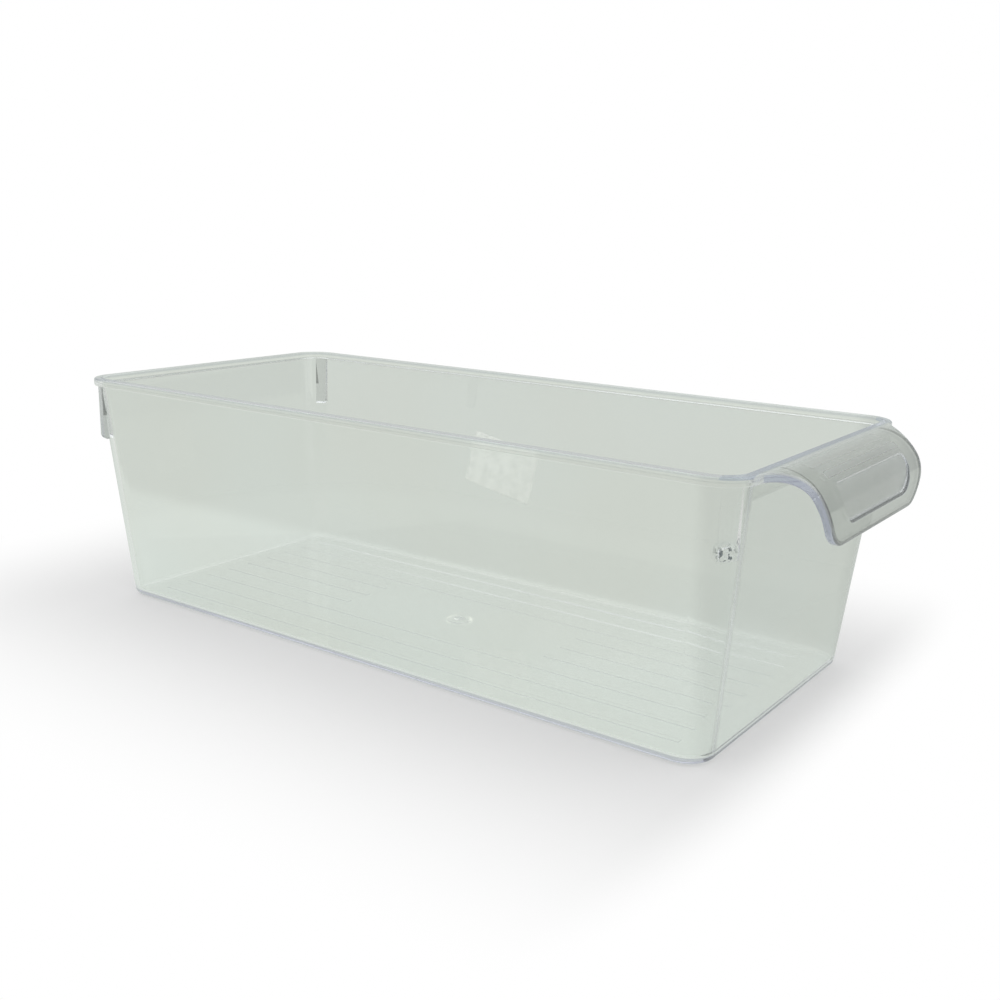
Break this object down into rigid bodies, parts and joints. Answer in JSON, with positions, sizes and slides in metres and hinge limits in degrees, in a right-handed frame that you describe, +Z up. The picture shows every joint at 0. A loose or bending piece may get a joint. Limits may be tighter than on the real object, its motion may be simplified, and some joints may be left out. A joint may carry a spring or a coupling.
{
  "type": "refrigerator drawer organizer bin",
  "caption": "Open clear plastic bin with leaning walls, a curled grip handle on one end, corner nesting lugs, a ribbed floor and a blank label.",
  "frame": {"origin": "centre of the tub's flat underside", "axes": "+Z up out of the mouth, the bin is long in Y and its handle points to -Y, X runs across it"},
  "size_m": [0.1464, 0.3338, 0.1],
  "materials": {
    "clear_plastic": "clear and polished, with a satin grip recess",
    "label_paper": "off-white translucent film, unprinted"
  },
  "bodies": {
    "root": {"clear_bin": "clear_plastic", "blank_label": "label_paper"}
  },
  "joints": []
}
